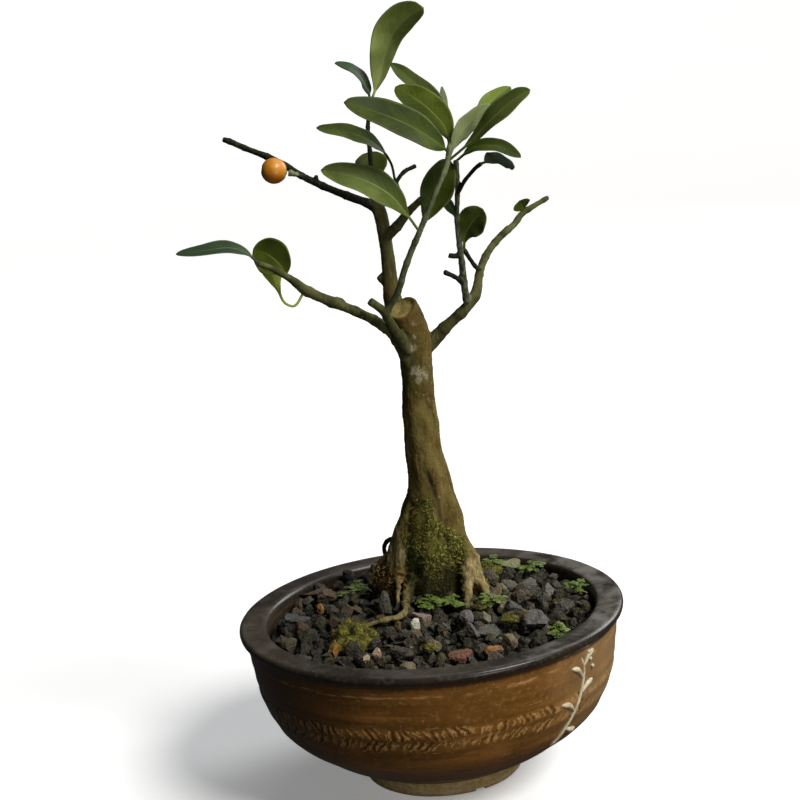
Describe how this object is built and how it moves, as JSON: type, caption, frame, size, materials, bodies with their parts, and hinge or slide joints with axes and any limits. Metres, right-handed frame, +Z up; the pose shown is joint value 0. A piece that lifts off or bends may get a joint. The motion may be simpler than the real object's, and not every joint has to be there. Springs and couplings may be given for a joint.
{
  "type": "potted kumquat bonsai",
  "caption": "Small trained citrus tree with a gnarled trunk, broad leaves and an orange fruit, in a round glazed bowl filled with lava grit.",
  "frame": {"origin": "centre of the bowl's foot, on its flat underside", "axes": "+Z up along the bowl's axis, +X to the viewer's right in the picture, -Y towards the viewer"},
  "size_m": [0.173, 0.17, 0.337],
  "materials": {
    "bowl_glaze": "brown glaze, dark semi-matte rim, bare clay foot",
    "screen_mesh": "plastic drainage mesh",
    "soil": "damp potting grit",
    "grit": "rough crushed lava",
    "moss": "soft moss cushion",
    "bark": "rough bark with moss and lichen",
    "leaf": "leathery leaf with a waxy sheen",
    "fruit": "smooth pored citrus skin",
    "weed": "thin soft leaflets"
  },
  "bodies": {
    "root": {"bowl": "bowl_glaze", "drain_screen_1": "screen_mesh", "drain_screen_2": "screen_mesh", "drain_screen_3": "screen_mesh", "soil": "soil", "lava_grit": "grit", "moss_mound": "moss", "tree_wood": "bark", "leaf_top": "leaf", "leaf_top_left": "leaf", "leaf_crown_left": "leaf", "leaf_crown_mid": "leaf", "leaf_crown_back": "leaf", "leaf_crown_slim": "leaf", "leaf_crown_pale": "leaf", "leaf_crown_right": "leaf", "leaf_crown_far": "leaf", "leaf_middle_right": "leaf", "leaf_side_under": "leaf", "leaf_shoot_back": "leaf", "leaf_shoot_left": "leaf", "leaf_inner_low": "leaf", "leaf_inner_left": "leaf", "leaf_left_tip": "leaf", "leaf_left_round": "leaf", "leaf_left_bright": "leaf", "leaf_right_scrap": "leaf", "leaf_middle_small": "leaf", "leaf_middle_broad": "leaf", "kumquat": "fruit", "weed_left": "weed", "weed_front_left": "weed", "weed_front_mid": "weed", "weed_front_right": "weed", "weed_back_right": "weed", "weed_right": "weed", "weed_rim_right": "weed", "weed_rim_front": "weed"}
  },
  "joints": []
}
